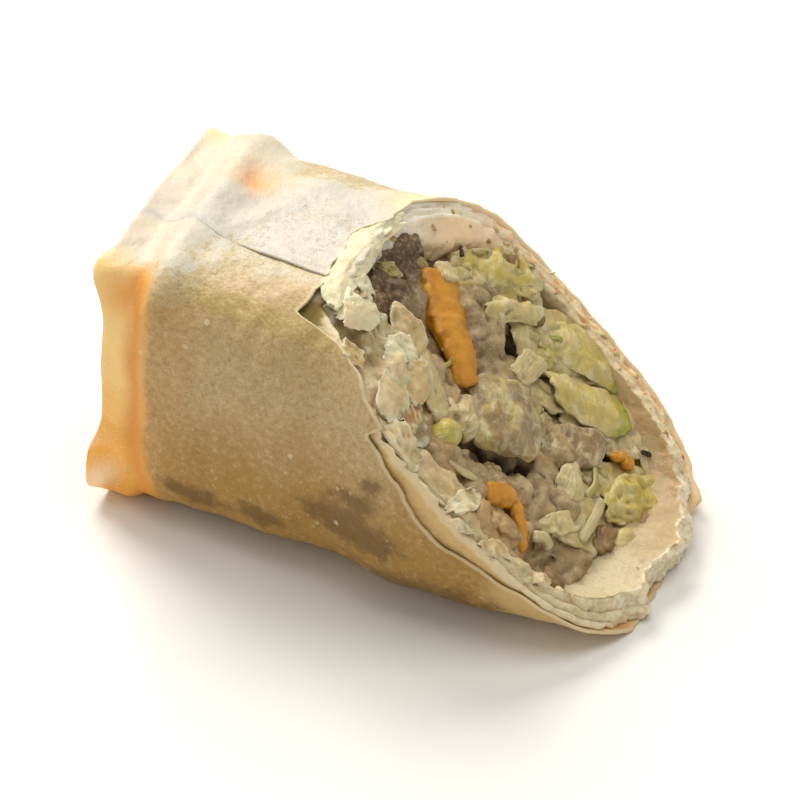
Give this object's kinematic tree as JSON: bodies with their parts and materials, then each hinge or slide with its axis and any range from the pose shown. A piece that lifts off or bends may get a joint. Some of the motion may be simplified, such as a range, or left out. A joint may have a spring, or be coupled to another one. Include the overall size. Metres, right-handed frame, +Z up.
{
  "type": "fried spring roll half",
  "caption": "Slant-cut half of a fried spring roll: rolled pastry with a hollow collar at its folded end, round a meat and vegetable filling.",
  "frame": {"origin": "on the surface the roll lies on, under the middle of its bounding box", "axes": "+X along the roll from its folded end to its slanting cut, +Z up"},
  "size_m": [0.072, 0.0444, 0.0384],
  "materials": {
    "fried_pastry": "thin crisp fried pastry, pale with golden-brown edges",
    "cooked_filling": "moist minced meat with cabbage and carrot strips"
  },
  "bodies": {
    "root": {"wrapper": "fried_pastry", "filling": "cooked_filling"}
  },
  "joints": []
}
